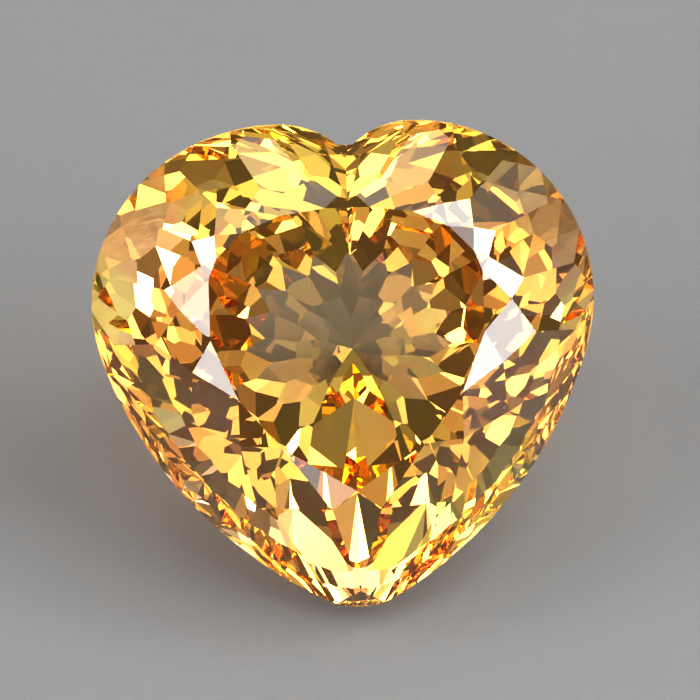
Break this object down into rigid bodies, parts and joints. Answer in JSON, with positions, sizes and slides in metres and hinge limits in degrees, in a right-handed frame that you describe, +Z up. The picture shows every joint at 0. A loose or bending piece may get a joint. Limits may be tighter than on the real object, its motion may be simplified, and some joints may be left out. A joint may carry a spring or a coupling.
{
  "type": "topaz gemstone",
  "caption": "Loose faceted heart-cut golden topaz with a broad table, a stepped crown of kite facets and a deep pointed pavilion, lying on one pavilion facet.",
  "frame": {"origin": "under the middle of the stone's bounding box, on the surface that the stone lies on", "axes": "+Z up; +X across the heart towards the right lobe; the stone's point is towards -Y and low, its cleft towards +Y and high"},
  "size_m": [0.0188, 0.0146, 0.0129],
  "materials": {
    "topaz": "polished clear golden topaz"
  },
  "bodies": {
    "root": {"gemstone": "topaz"}
  },
  "joints": []
}
